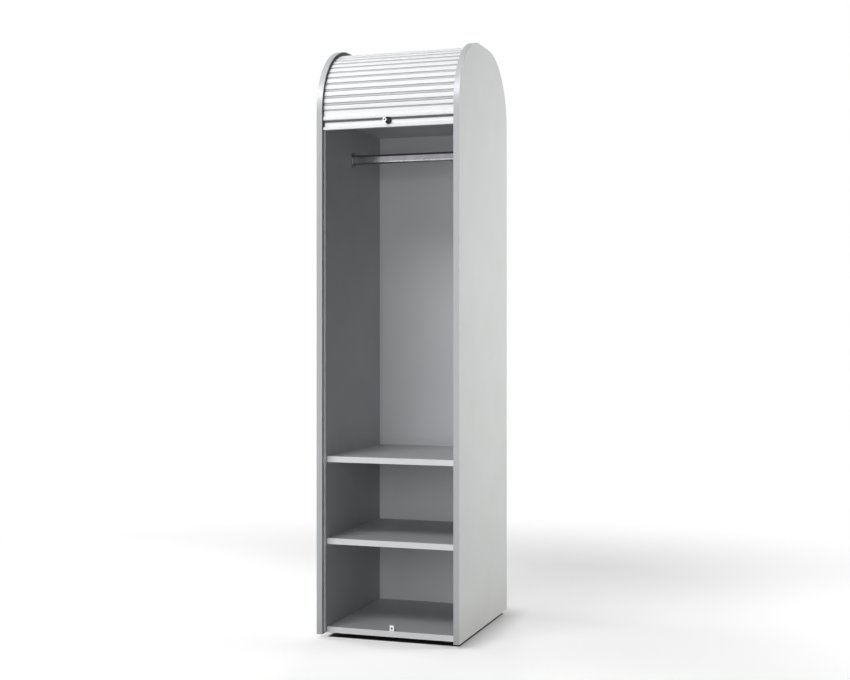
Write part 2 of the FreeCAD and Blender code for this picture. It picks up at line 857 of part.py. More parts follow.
# Lock


housing_bore = d["lock_radius"] + d["lock_play"]
housing_radius = housing_bore + d["housing_wall"]
cylinder_rear = d["lock_front"] + d["lock_length"]
housing_floor = cylinder_rear + d["lock_stroke"] + d["lock_stop"]
bolt_tip = d["shelf_setback"] - d["bolt_gap"]


def lock_rod(label, begin, end, radius):
    """A cylinder on the lock's axis, between two distances behind the front plane."""
    return rod(label, (as_dim(0), front + begin, lock_axis_z), "y", radius, end - begin)


def lock():
    housing_rear = housing_floor + d["housing_wall"]
    sleeve = lock_rod("sleeve", d["housing_front"], housing_rear, housing_radius)
    bore = lock_rod("sleeve_bore", d["housing_front"], housing_floor, housing_bore)
    passage = lock_rod("bolt_passage", housing_floor, housing_rear, d["bolt_radius"] + d["lock_play"])
    node(cut("lock_housing", sleeve, [bore, passage]))

    barrel = lock_rod("barrel", d["lock_front"], cylinder_rear, d["lock_radius"])
    bolt = lock_rod("bolt", cylinder_rear, bolt_tip, d["bolt_radius"])
    plug_rear = d["lock_front"] - d["plug_proud"] + d["plug_length"]
    plug_bore = lock_rod("plug_bore", d["lock_front"], plug_rear, d["plug_radius"] + d["lock_play"])
    node(cut("lock_cylinder", fuse("barrel_and_bolt", [barrel, bolt]), [plug_bore]))

    plug_front = d["lock_front"] - d["plug_proud"]
    plug = lock_rod("plug", plug_front, plug_rear, d["plug_radius"])
    slot_width = d["key_thickness"] / 2 + d["key_play"]
    slot_height = d["key_width"] / 2 + d["key_play"]
    slot_low = (-slot_width, front + plug_front, lock_axis_z - slot_height)
    slot_high = (slot_width, front + plug_rear, lock_axis_z + slot_height)
    node(cut("lock_plug", plug, [block("keyway", slot_low, slot_high)]))

    body = new_body("key")
    half = d["key_thickness"] / 2
    outline = sketch_on(body, "YZ_Plane", -half)
    low = lock_axis_z - d["key_width"] / 2
    high = lock_axis_z + d["key_width"] / 2
    tip = front + plug_front + d["key_depth"]
    fold = front - d["bow_reach"]
    draw_loop(outline, rectangle((fold, low), (tip, high)))
    pad(body, outline, d["key_thickness"])
    strap = sketch_on(body, "XZ_Plane", -fold)
    draw_loop(strap, rectangle((-d["bow_offset"], low), (half, high)))
    pad(body, strap, d["key_thickness"])
    bow = sketch_on(body, "XZ_Plane", -fold)
    centre = (-d["bow_offset"], lock_axis_z)
    draw_circles(bow, [centre], d["bow_radius"])
    pad(body, bow, d["key_thickness"])
    eye = sketch_on(body, "XZ_Plane", d["key_thickness"] - fold)
    draw_circles(eye, [centre], d["bow_hole"])
    pocket(body, eye, d["key_thickness"])


def build():
    side_panel()
    edge_band()
    carcass_boards()
    backs()
    glides()
    shelf_pins()
    dowels()
    cams()
    hanging_rail()
    rail_supports()
    striker()
    slat_run("tambour_arch_run", 0, arch_slats)
    slat_run("tambour_rear_run", arch_slats, rear_slats)
    end_rail()
    guide_shoes()
    lock()
    doc.recompute()


def check():
    """Stop before anything is written if a feature failed or cut nothing."""
    for obj in doc.Objects:
        if "Invalid" in obj.State or "Error" in obj.State:
            raise RuntimeError(f"{obj.Label} failed: {obj.State}")
        if obj.TypeId == "PartDesign::Pocket" and obj.Shape.Volume >= obj.BaseFeature.Shape.Volume:
            raise RuntimeError(f"{obj.Label} in {obj.getParentGeoFeatureGroup().Label} cuts nothing")
    for piece in nodes:
        if piece.Shape.isNull() or not piece.Shape.isValid():
            raise RuntimeError(f"{piece.Label} has no valid shape")


def export():
    os.makedirs("parts", exist_ok=True)
    for piece in nodes:
        piece.Shape.exportStep(f"parts/{piece.Label}.step")


build()
check()
export()
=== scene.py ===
"""Looks of the tambour wardrobe: camera, studio, finishes and the pieces that the solids leave out."""

import json
import math

import bmesh
import bpy
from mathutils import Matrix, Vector


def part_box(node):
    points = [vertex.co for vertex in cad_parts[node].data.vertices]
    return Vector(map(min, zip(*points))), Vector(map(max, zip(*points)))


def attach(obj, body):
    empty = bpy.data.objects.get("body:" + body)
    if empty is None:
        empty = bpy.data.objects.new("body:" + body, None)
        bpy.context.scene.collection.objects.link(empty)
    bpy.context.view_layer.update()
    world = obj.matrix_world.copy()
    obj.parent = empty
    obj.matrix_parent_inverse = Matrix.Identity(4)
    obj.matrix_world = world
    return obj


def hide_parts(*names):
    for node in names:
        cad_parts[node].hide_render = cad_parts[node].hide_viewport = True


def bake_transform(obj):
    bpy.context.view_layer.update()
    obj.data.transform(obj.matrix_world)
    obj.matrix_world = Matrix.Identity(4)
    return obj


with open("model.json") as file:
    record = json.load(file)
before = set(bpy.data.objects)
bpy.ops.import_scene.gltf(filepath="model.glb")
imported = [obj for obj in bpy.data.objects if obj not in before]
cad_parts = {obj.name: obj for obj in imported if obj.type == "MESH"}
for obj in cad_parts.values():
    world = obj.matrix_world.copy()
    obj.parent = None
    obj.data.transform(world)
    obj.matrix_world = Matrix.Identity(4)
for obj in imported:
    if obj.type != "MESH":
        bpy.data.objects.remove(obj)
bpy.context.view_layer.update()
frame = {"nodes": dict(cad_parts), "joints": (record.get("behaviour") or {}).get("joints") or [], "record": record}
scene = bpy.context.scene
scene.view_settings.view_transform = "Standard"

# Camera, as fitted to the edges of the boards

CAMERA_PLACE = (1.4128, -4.1278, 0.9519)
CAMERA_TURN = 18.5
CAMERA_LENS = 57.33
CAMERA_SHIFT = -0.01224
SENSOR_WIDTH = 36.0


def set_camera():
    lens = bpy.data.cameras.new("camera")
    lens.lens = CAMERA_LENS
    lens.sensor_width = SENSOR_WIDTH
    lens.shift_y = CAMERA_SHIFT
    camera = bpy.data.objects.new("camera", lens)
    camera.location = CAMERA_PLACE
    camera.rotation_euler = (math.radians(90), 0, math.radians(CAMERA_TURN))
    scene.collection.objects.link(camera)
    scene.camera = camera


# Node helpers

# Sockets of a Mix node that mixes colours: its factor and both colours, and its result
MIX_INPUTS = (0, 6, 7)
MIX_RESULT = 2


def node_in(tree, kind, **settings):
    """A new node of a tree, with its settings."""
    made = tree.nodes.new(kind)
    for name, value in settings.items():
        setattr(made, name, value)
    return made


def feed(tree, target, source):
    """Links source to target if it is a socket, and sets target to it otherwise."""
    if isinstance(source, bpy.types.NodeSocket):
        tree.links.new(source, target)
    else:
        target.default_value = source


def math_node(tree, operation, *values):
    made = node_in(tree, "ShaderNodeMath", operation=operation)
    for socket, value in zip(made.inputs, values):
        feed(tree, socket, value)
    return made.outputs[0]


def between(tree, value, low, high):
    """Smooth share of the way that value has gone from low to high."""
    made = node_in(tree, "ShaderNodeMapRange", interpolation_type="SMOOTHSTEP")
    for name, source in (("Value", value), ("From Min", low), ("From Max", high)):
        feed(tree, made.inputs[name], source)
    return made.outputs["Result"]


def mixed_colour(tree, share, first, second):
    made = node_in(tree, "ShaderNodeMix", data_type="RGBA")
    for index, source in zip(MIX_INPUTS, (share, first, second)):
        feed(tree, made.inputs[index], source)
    return made.outputs[MIX_RESULT]


def noise(tree, place, scale, detail):
    made = node_in(tree, "ShaderNodeTexNoise")
    feed(tree, made.inputs["Vector"], place)
    feed(tree, made.inputs["Scale"], scale)
    feed(tree, made.inputs["Detail"], detail)
    return made.outputs["Fac"]


def object_place(tree):
    return node_in(tree, "ShaderNodeTexCoord").outputs["Object"]


def axes_of(tree, place):
    """X, Y and Z of a place, each by its name."""
    parts = node_in(tree, "ShaderNodeSeparateXYZ")
    tree.links.new(place, parts.inputs[0])
    return parts.outputs


def seen_directly(tree):
    """1 for what the camera sees straight, in a mirror or through glass, and 0 for light on the object."""
    path = node_in(tree, "ShaderNodeLightPath")
    mirrored = math_node(tree, "MAXIMUM", path.outputs["Is Glossy Ray"], path.outputs["Is Transmission Ray"])
    return math_node(tree, "MAXIMUM", path.outputs["Is Camera Ray"], mirrored)


def mixed_shader(tree, share, first, second, output_kind):
    """Ends a tree with a mix of two shaders."""
    mix = node_in(tree, "ShaderNodeMixShader")
    tree.links.new(share, mix.inputs[0])
    tree.links.new(first.outputs[0], mix.inputs[1])
    tree.links.new(second.outputs[0], mix.inputs[2])
    tree.links.new(mix.outputs[0], node_in(tree, output_kind).inputs["Surface"])


# Studio

WHITE = (1, 1, 1, 1)
AMBIENT = 0.02
AMBIENT_COLOUR = (0.97, 0.985, 1.0, 1)
FLOOR_SIZE = 14.0
FLOOR_NEAR = 0.5
FLOOR_FAR = 2.6
FLOOR_GLOW = 0.30
FLOOR_WHITES = ((0.93, 0.93, 0.925, 1), (0.96, 0.96, 0.96, 1))
FLOOR_PATCHES = 3.0
FLOOR_PAINTED_SHADE = (0.01, 0.01, 0.01, 1)
FLOOR_BOUNCE = (0.32, 0.32, 0.31, 1)
FLOOR_ROUGHNESS = 0.75
FLOOR_GLOSS = 0.1
PATCH_DETAIL = 2.0

# Limits of the painted shade on the floor, under the cabinet and beside it, each from its outer to its inner end
SHADE_UNDER = (("X", -0.214, -0.200), ("X", 0.227, 0.219), ("Y", -0.246, -0.239), ("Y", 0.270, 0.260))
SHADE_BESIDE = (("X", 0.10, 0.20), ("X", 0.330, 0.225), ("Y", -0.30, -0.22), ("Y", 0.42, 0.20))
BESIDE_STRENGTH = 0.41

# Name, place, target, width and height, power in watts and spread in degrees
LAMPS = (
    ("front_box", (0.35, -4.6, 1.15), (0, 0, 0.85), (1.4, 2.0), 60, 180),
    ("low_front_box", (-1.6, -4.2, 0.22), (0, 0, 0.8), (1.3, 0.36), 10, 180),
    ("high_box", (-0.85, -2.4, 3.3), (0, -0.1, 0.9), (1.5, 1.0), 54, 180),
    ("overhead_box", (-0.7, -0.8, 3.4), (0, 0, 1.7), (1.6, 2.4), 13, 180),
    ("side_box", (2.7, 0.75, 1.35), (0.2, 0.1, 1.1), (1.3, 1.3), 60, 180),
    ("low_side_box", (2.6, -0.2, 0.6), (0.2, 0.1, 0.6), (1.2, 1.0), 3, 180),
    ("left_box", (-2.6, 0.1, 1.1), (-0.5, 0, 0.4), (1.2, 1.2), 60, 180),
    ("back_box", (-0.9, 3.2, 1.3), (-0.05, 0.27, 1.05), (0.7, 1.2), 5, 40),
)


def set_lamps():
    for name, place, target, size, power, spread in LAMPS:
        light = bpy.data.lights.new(name, "AREA")
        light.spread = math.radians(spread)
        light.shape = "RECTANGLE"
        light.size, light.size_y = size
        light.energy = power
        holder = bpy.data.objects.new(name, light)
        holder.location = place
        holder.rotation_euler = (Vector(target) - Vector(place)).to_track_quat("-Z", "Y").to_euler()
        scene.collection.objects.link(holder)


def set_world():
    """White where it is seen, and a weak even light on the object."""
    world = bpy.data.worlds.new("studio")
    world.use_nodes = True
    scene.world = world
    tree = world.node_tree
    tree.nodes.clear()
    ambient = node_in(tree, "ShaderNodeBackground")
    ambient.inputs["Color"].default_value = AMBIENT_COLOUR
    ambient.inputs["Strength"].default_value = AMBIENT
    white = node_in(tree, "ShaderNodeBackground")
    white.inputs["Color"].default_value = WHITE
    mixed_shader(tree, seen_directly(tree), ambient, white, "ShaderNodeOutputWorld")


def shade(tree, place, limits, strength):
    """Share of painted shade on the floor inside some limits along X and Y."""
    axes = axes_of(tree, place)
    share = strength
    for axis, outer, inner in limits:
        share = math_node(tree, "MULTIPLY", share, between(tree, axes[axis], outer, inner))
    return share


def floor_material():
    """Pale floor that keeps the shadow, with shade painted under and beside the cabinet, and turns white far from
    the object.
    """
    made = bpy.data.materials.new("pale_floor")
    made.use_nodes = True
    tree = made.node_tree
    tree.nodes.clear()
    place = node_in(tree, "ShaderNodeNewGeometry").outputs["Position"]
    distance = node_in(tree, "ShaderNodeVectorMath", operation="LENGTH")
    tree.links.new(place, distance.inputs[0])
    far = between(tree, distance.outputs["Value"], FLOOR_NEAR, FLOOR_FAR)
    under = shade(tree, place, SHADE_UNDER, 1.0)
    dark = math_node(tree, "MAXIMUM", under, shade(tree, place, SHADE_BESIDE, BESIDE_STRENGTH))
    near = math_node(tree, "MULTIPLY_ADD", dark, -FLOOR_GLOW, FLOOR_GLOW)
    glow = math_node(tree, "MAXIMUM", far, near)
    white_floor = mixed_colour(tree, noise(tree, place, FLOOR_PATCHES, PATCH_DETAIL), *FLOOR_WHITES)
    seen_floor = mixed_colour(tree, dark, white_floor, FLOOR_PAINTED_SHADE)
    surface = node_in(tree, "ShaderNodeBsdfPrincipled")
    colour = mixed_colour(tree, seen_directly(tree), FLOOR_BOUNCE, seen_floor)
    tree.links.new(colour, surface.inputs["Base Color"])
    surface.inputs["Roughness"].default_value = FLOOR_ROUGHNESS
    surface.inputs["Specular IOR Level"].default_value = FLOOR_GLOSS
    white = node_in(tree, "ShaderNodeEmission")
    share = math_node(tree, "MULTIPLY", glow, seen_directly(tree))
    mixed_shader(tree, share, surface, white, "ShaderNodeOutputMaterial")
    return made


def set_floor():
    half = FLOOR_SIZE / 2
    mesh = bpy.data.meshes.new("floor")
    corners = [(-half, -half, 0), (half, -half, 0), (half, half, 0), (-half, half, 0)]
    mesh.from_pydata(corners, [], [(0, 1, 2, 3)])
    mesh.materials.append(floor_material())
    floor = bpy.data.objects.new("floor", mesh)
    scene.collection.objects.link(floor)


# Shared effects

FLOAT = "NodeSocketFloat"
COLOUR = "NodeSocketColor"
VECTOR = "NodeSocketVector"
CLOUD_DETAIL = 3.0
NOISE_SPAN = (0.3, 0.7)
DUST_PATCHES = 5.0
DUST_SPAN = (0.1, 0.7)


def shader_group(name, inputs, outputs):
    """An empty shader node group with named sockets, its inlet and its outlet."""
    tree = bpy.data.node_groups.new(name, "ShaderNodeTree")
    for label, kind in inputs.items():
        tree.interface.new_socket(label, in_out="INPUT", socket_type=kind)
    for label, kind in outputs.items():
        tree.interface.new_socket(label, in_out="OUTPUT", socket_type=kind)
    return tree, node_in(tree, "NodeGroupInput").outputs, node_in(tree, "NodeGroupOutput").inputs


def clouding_group():
    """Slow change between two close colours."""
    inputs = {"First": COLOUR, "Second": COLOUR, "Scale": FLOAT}
    tree, inlet, outlet = shader_group("clouding", inputs, {"Color": COLOUR})
    cloud = noise(tree, object_place(tree), inlet["Scale"], CLOUD_DETAIL)
    share = between(tree, cloud, *NOISE_SPAN)
    tree.links.new(mixed_colour(tree, share, inlet["First"], inlet["Second"]), outlet["Color"])
    return tree


def sheen_group():
    """Roughness that wanders between two values."""
    inputs = {"Smoothest": FLOAT, "Roughest": FLOAT, "Scale": FLOAT}
    tree, inlet, outlet = shader_group("sheen", inputs, {"Roughness": FLOAT})
    patch = noise(tree, object_place(tree), inlet["Scale"], PATCH_DETAIL)
    made = node_in(tree, "ShaderNodeMapRange")
    sources = {"Value": patch, "From Min": NOISE_SPAN[0], "From Max": NOISE_SPAN[1]}
    sources.update({"To Min": inlet["Smoothest"], "To Max": inlet["Roughest"]})
    for name, source in sources.items():
        feed(tree, made.inputs[name], source)
    tree.links.new(made.outputs["Result"], outlet["Roughness"])
    return tree


def grain_group():
    """Fine height of a pressed, drawn or moulded surface. Stretch is its fineness along each axis."""
    tree, inlet, outlet = shader_group("grain", {"Stretch": VECTOR}, {"Height": FLOAT})
    scaled = node_in(tree, "ShaderNodeVectorMath", operation="MULTIPLY")
    tree.links.new(object_place(tree), scaled.inputs[0])
    tree.links.new(inlet["Stretch"], scaled.inputs[1])
    tree.links.new(noise(tree, scaled.outputs["Vector"], 1.0, PATCH_DETAIL), outlet["Height"])
    return tree


def low_darkening_group():
    """Colour that dulls towards the floor, in patches."""
    inputs = {"Clean": COLOUR, "Dusty": COLOUR, "Reach": FLOAT}
    tree, inlet, outlet = shader_group("low_darkening", inputs, {"Color": COLOUR})
    place = object_place(tree)
    low = between(tree, axes_of(tree, place)["Z"], inlet["Reach"], 0.0)
    patch = between(tree, noise(tree, place, DUST_PATCHES, CLOUD_DETAIL), *DUST_SPAN)
    share = math_node(tree, "MULTIPLY", low, patch)
    tree.links.new(mixed_colour(tree, share, inlet["Clean"], inlet["Dusty"]), outlet["Color"])
    return tree


GROUPS = {
    "clouding": clouding_group(),
    "sheen": sheen_group(),
    "grain": grain_group(),
    "low_darkening": low_darkening_group(),
}


def place_group(tree, name, **values):
    """A shared effect in a material, with the material's own values."""
    made = node_in(tree, "ShaderNodeGroup", node_tree=GROUPS[name])
    for label, value in values.items():
        feed(tree, made.inputs[label], value)
    return made.outputs[0]


# Finishes

OUTER_GREY = ((0.560, 0.573, 0.566), (0.578, 0.590, 0.583))
# Painted shade: the inner faces and the inner back take darker copies of the outer grey of the same board
SHADED_INNER_GREY = ((0.438, 0.448, 0.462), (0.454, 0.464, 0.478))
SHADED_BACK_GREY = ((0.485, 0.500, 0.515), (0.500, 0.515, 0.530))
BOARD_CLOUDS = 5.0
# Darker tones of the boards and the edges towards the floor, in patches, and how high each reaches
BOARD_LOW_TONE = (0.515, 0.520, 0.498)
BOARD_LOW_REACH = 0.16
EDGE_LOW_TONE = (0.38, 0.39, 0.39)
EDGE_LOW_REACH = 0.10
GROOVE_LINING = (0.88, 0.885, 0.89, 1)
# Painted shade: a dark grey in the finger cove of the end rail, under its nose
COVE_PAINTED_SHADE = (0.15, 0.15, 0.16, 1)

# Where the pale lining of the grooves and the painted shade of the cove start and end: from the middle outwards
# for the grooves, and along Y and Z for the cove
GROOVE_MOUTH = (0.2122, 0.2124)
GROOVE_BED = (0.2192, 0.2196)
COVE_MOUTH = (-0.2650, -0.2615)
COVE_FLOOR = (1.5890, 1.5920)
COVE_ROOF = (1.5985, 1.5975)


def clouded(tree, colours, scale):
    first, second = colours
    return place_group(tree, "clouding", First=(*first, 1), Second=(*second, 1), Scale=scale)


def finish(name, colours, clouds, sheen, grain, bump, sockets):
    """A material from the shared effects.

    clouds is the fineness of the change between the two colours, sheen the smoothest and roughest value and
    the fineness of their patches, grain the fineness along each axis, and bump its strength and depth.
    sockets holds the shader's constant values.
    """
    made = bpy.data.materials.new(name)
    made.use_nodes = True
    tree = made.node_tree
    shader = tree.nodes["Principled BSDF"]
    tree.links.new(clouded(tree, colours, clouds), shader.inputs["Base Color"])
    smooth, rough, patches = sheen
    roughness = place_group(tree, "sheen", Smoothest=smooth, Roughest=rough, Scale=patches)
    tree.links.new(roughness, shader.inputs["Roughness"])
    relief = node_in(tree, "ShaderNodeBump")
    strength, depth = bump
    relief.inputs["Strength"].default_value = strength
    relief.inputs["Distance"].default_value = depth
    tree.links.new(place_group(tree, "grain", Stretch=grain), relief.inputs["Height"])
    tree.links.new(relief.outputs["Normal"], shader.inputs["Normal"])
    for label, value in sockets.items():
        shader.inputs[label].default_value = value
    return made


def base_colour(made):
    """The node tree of a finish, the socket of its base colour and what feeds that."""
    tree = made.node_tree
    socket = tree.nodes["Principled BSDF"].inputs["Base Color"]
    return tree, socket, socket.links[0].from_socket


def darkened_low(made, low_colour, reach):
    """Darkens a finish towards the floor, in patches."""
    tree, base, plain = base_colour(made)
    tree.links.new(place_group(tree, "low_darkening", Clean=plain, Dusty=(*low_colour, 1), Reach=reach), base)
    return made


def grey_board(name, colours):
    return finish(
        name,
        colours,
        clouds=BOARD_CLOUDS,
        sheen=(0.42, 0.52, 9.0),
        grain=(700, 700, 700),
        bump=(0.10, 0.0004),
        sockets={"Specular IOR Level": 0.35},
    )


def silver_edging():
    made = finish(
        "silver_edging",
        colours=((0.425, 0.438, 0.452), (0.450, 0.463, 0.477)),
        clouds=2600.0,
        sheen=(0.34, 0.40, 30.0),
        grain=(900, 900, 900),
        bump=(0.02, 0.0003),
        sockets={"Metallic": 0.10, "Specular IOR Level": 0.5},
    )
    return darkened_low(made, EDGE_LOW_TONE, EDGE_LOW_REACH)


def shelf_edging():
    return finish(
        "shelf_edging",
        colours=((0.790, 0.802, 0.818), (0.810, 0.822, 0.838)),
        clouds=40.0,
        sheen=(0.36, 0.44, 25.0),
        grain=(60, 900, 900),
        bump=(0.08, 0.0003),
        sockets={"Specular IOR Level": 0.4},
    )


def side_board():
    """Board of the sides: outer grey outside, a darker copy of it inside as painted shade, pale lining in the
    grooves, darker outside towards the floor in patches.
    """
    made = darkened_low(grey_board("side_board", OUTER_GREY), BOARD_LOW_TONE, BOARD_LOW_REACH)
    tree, base, outside = base_colour(made)
    across = math_node(tree, "ABSOLUTE", axes_of(tree, object_place(tree))["X"])
    inside = clouded(tree, SHADED_INNER_GREY, BOARD_CLOUDS)
    lined = mixed_colour(tree, between(tree, across, *GROOVE_MOUTH), inside, GROOVE_LINING)
    tree.links.new(mixed_colour(tree, between(tree, across, *GROOVE_BED), lined, outside), base)
    return made


def white_slats():
    return finish(
        "white_slats",
        colours=((0.835, 0.840, 0.855), (0.860, 0.864, 0.875)),
        clouds=12.0,
        sheen=(0.50, 0.60, 18.0),
        grain=(6, 1400, 1400),
        bump=(0.05, 0.0003),
        sockets={"Specular IOR Level": 0.4},
    )


def slat_joints():
    return finish(
        "slat_joints",
        colours=((0.525, 0.527, 0.541), (0.560, 0.562, 0.576)),
        clouds=30.0,
        sheen=(0.46, 0.58, 40.0),
        grain=(12, 1400, 1400),
        bump=(0.12, 0.0003),
        sockets={"Specular IOR Level": 0.3},
    )


def add_cove_shade(made):
    """Adds painted shade to the finger cove, under the nose of the end rail: a dark grey where its shadow falls.
    """
    tree, base, unshaded = base_colour(made)
    axes = axes_of(tree, object_place(tree))
    share = between(tree, axes["Y"], *COVE_MOUTH)
    for limits in (COVE_FLOOR, COVE_ROOF):
        share = math_node(tree, "MULTIPLY", share, between(tree, axes["Z"], *limits))
    tree.links.new(mixed_colour(tree, share, unshaded, COVE_PAINTED_SHADE), base)
    return made


def white_rail():
    made = finish(
        "white_rail",
        colours=((0.845, 0.848, 0.862), (0.865, 0.868, 0.880)),
        clouds=14.0,
        sheen=(0.44, 0.54, 20.0),
        grain=(850, 850, 850),
        bump=(0.05, 0.0003),
        sockets={"Specular IOR Level": 0.45},
    )
    return add_cove_shade(made)


def chromed_tube():
    return finish(
        "chromed_tube",
        colours=((0.28, 0.28, 0.30), (0.34, 0.34, 0.36)),
        clouds=35.0,
        sheen=(0.10, 0.20, 28.0),
        grain=(8, 1800, 1800),
        bump=(0.06, 0.0002),
        sockets={"Metallic": 1.0},
    )


def nickel_steel():
    return finish(
        "nickel_steel",
        colours=((0.70, 0.695, 0.68), (0.78, 0.775, 0.76)),
        clouds=160.0,
        sheen=(0.20, 0.34, 90.0),
        grain=(900, 250, 2400),
        bump=(0.10, 0.0002),
        sockets={"Metallic": 1.0},
    )


def zinc_steel():
    return finish(
        "zinc_steel",
        colours=((0.56, 0.57, 0.59), (0.66, 0.67, 0.69)),
        clouds=220.0,
        sheen=(0.30, 0.46, 120.0),
        grain=(1500, 1500, 1500),
        bump=(0.15, 0.0002),
        sockets={"Metallic": 1.0},
    )


def black_plastic():
    return finish(
        "black_plastic",
        colours=((0.016, 0.016, 0.017), (0.026, 0.026, 0.027)),
        clouds=90.0,
        sheen=(0.46, 0.60, 60.0),
        grain=(2200, 2200, 2200),
        bump=(0.25, 0.0003),
        sockets={"Specular IOR Level": 0.4},
    )


# Nearly black finish of the strips over the top that stand for the shade on the lips: painted shade
def painted_shade_strip():
    return finish(
        "painted_shade_strip",
        colours=((0.060, 0.060, 0.063), (0.075, 0.075, 0.078)),
        clouds=60.0,
        sheen=(0.48, 0.60, 50.0),
        grain=(40, 1800, 1800),
        bump=(0.12, 0.0002),
        sockets={"Specular IOR Level": 0.35},
    )


def black_lock():
    return finish(
        "black_lock",
        colours=((0.010, 0.010, 0.011), (0.018, 0.018, 0.019)),
        clouds=120.0,
        sheen=(0.34, 0.46, 80.0),
        grain=(1600, 300, 1600),
        bump=(0.10, 0.0002),
        sockets={"Specular IOR Level": 0.25},
    )


def raw_beech():
    return finish(
        "raw_beech",
        colours=((0.52, 0.33, 0.17), (0.64, 0.44, 0.25)),
        clouds=260.0,
        sheen=(0.60, 0.75, 80.0),
        grain=(60, 1200, 1200),
        bump=(0.30, 0.0004),
        sockets={"Specular IOR Level": 0.3},
    )


# The grey_board slot takes the darker inner copy of the board's grey: painted shade
FINISHES = {
    "grey_board": grey_board("shaded_inner_board", SHADED_INNER_GREY),
    "silver_edge": silver_edging(),
    "grey_edge": shelf_edging(),
    "black_plastic": black_plastic(),
    "zinc_steel": zinc_steel(),
    "beech": raw_beech(),
    "chrome_tube": chromed_tube(),
    "nickel_steel": nickel_steel(),
    "white_slat": white_slats(),
    "white_aluminium": white_rail(),
    "black_metal": black_lock(),
}

SIDE_BOARD = side_board()
# The inner back takes its own darker copy of the outer grey: painted shade
SPECIAL_FINISHES = {
    "inner_back_panel": grey_board("shaded_back_board", SHADED_BACK_GREY),
    "outer_back_panel": grey_board("outer_board", OUTER_GREY),
    "left_side_panel": SIDE_BOARD,
    "right_side_panel": SIDE_BOARD,
}
SLAT_JOINTS = slat_joints()
PAINTED_SHADE_STRIP = painted_shade_strip()


def dress_nodes():
    """Each solid takes the finish of its slot in the record, or its own."""
    for subpart in frame["record"]["subparts"]:
        name = subpart["node"]
        made = SPECIAL_FINISHES.get(name, FINISHES[subpart["material_slot"]])
        for slot in frame["nodes"][name].material_slots:
            slot.material = made


def piece_from(name, bm, materials):
    """An object from a bmesh, with the finish of a slot."""
    bmesh.ops.recalc_face_normals(bm, faces=bm.faces)
    mesh = bpy.data.meshes.new(name)
    bm.to_mesh(mesh)
    bm.free()
    for made in materials:
        mesh.materials.append(made)
    piece = bpy.data.objects.new(name, mesh)
    scene.collection.objects.link(piece)
    return piece


# Slats of the shutter. The land is a slat's raised face, and the lap its thin edge over or under the next.
# The SOLID values are those of the solids, which the rows start from.

SLAT_PITCH = 0.0225
SLAT_LAND = 0.0143
SLAT_LAP = 0.0062
SLAT_SHIFT = 0.0050
FIRST_LAND_SHIFT = 0.0020
SOLID_LAND = 0.0155
SOLID_LAP = 0.0056
SLAT_STEP = 0.0034
SLAT_HALF = 0.0050
SLAT_ROUND = 0.0014
LOWER_TURNS = (180, 150, 120, 90)
UPPER_TURNS = (90, 60, 30, 0)
SLAT_REACH = 0.2184
CORNER_RADIUS = 0.220
PATH_INSET = 0.0175


def slat_section(half_thickness):
    """Outline of a slat, along the shutter's path and outwards from it, and how many edges its land has."""
    half = SLAT_LAND / 2
    lap = half + SLAT_LAP
    web = half_thickness - SLAT_STEP
    middle = -SLAT_STEP / 2
    land = []
    for side, turns in ((-1, LOWER_TURNS), (1, UPPER_TURNS)):
        for turn in turns:
            angle = math.radians(turn)
            across = side * (half - SLAT_ROUND) + SLAT_ROUND * math.cos(angle)
            land.append((across, half_thickness - SLAT_ROUND + SLAT_ROUND * math.sin(angle)))
    back = [(half, middle), (lap, middle), (lap, -half_thickness), (-half, -half_thickness)]
    return land + back + [(-half, middle), (-lap, middle), (-lap, web), (-half, web)], len(land) - 1


def add_slat(bm, outline, land_edges):
    """One slat across the cabinet, from the outline of its section in Y and Z."""
    rings = [[bm.verts.new((x, y, z)) for y, z in outline] for x in (-SLAT_REACH, SLAT_REACH)]
    for index in range(len(outline)):
        after = (index + 1) % len(outline)
        face = bm.faces.new((rings[0][index], rings[0][after], rings[1][after], rings[1][index]))
        face.material_index = 0 if index < land_edges else 1
        face.smooth = index < land_edges
    for ring in rings:
        bm.faces.new([bm.verts.new(corner.co) for corner in ring])


# Slats over the top

side_low, side_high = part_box("left_edge_band")
PATH_RADIUS = CORNER_RADIUS - PATH_INSET
ARCH_START = side_high.z - CORNER_RADIUS
FRONT_CENTRE = side_low.y + CORNER_RADIUS
REAR_CENTRE = side_high.y - CORNER_RADIUS
QUARTER = PATH_RADIUS * math.pi / 2
ARCH_LENGTH = 2 * QUARTER + REAR_CENTRE - FRONT_CENTRE


def arch_place(run):
    """Place on the path over the top, run metres after its start, and the path's angle there."""
    rear_run = run - (ARCH_LENGTH - QUARTER)
    if run < QUARTER:
        centre, angle = FRONT_CENTRE, math.pi / 2 - run / PATH_RADIUS
    elif rear_run > 0:
        centre, angle = REAR_CENTRE, -rear_run / PATH_RADIUS
    else:
        centre, angle = FRONT_CENTRE + run - QUARTER, 0.0
    return centre - PATH_RADIUS * math.sin(angle), ARCH_START + PATH_RADIUS * math.cos(angle), angle


def row_shift(number, last, along, out):
    """How far a point of a slat's section goes back towards the place that the solid's row has."""
    if number == 0 and along < 0:
        on_land = along > -(SLAT_LAND + SLAT_LAP) / 2 and out >= SLAT_HALF - SLAT_STEP
        return FIRST_LAND_SHIFT if on_land else SLAT_SHIFT
    if number == last and along > 0:
        return SLAT_SHIFT
    return 0.0


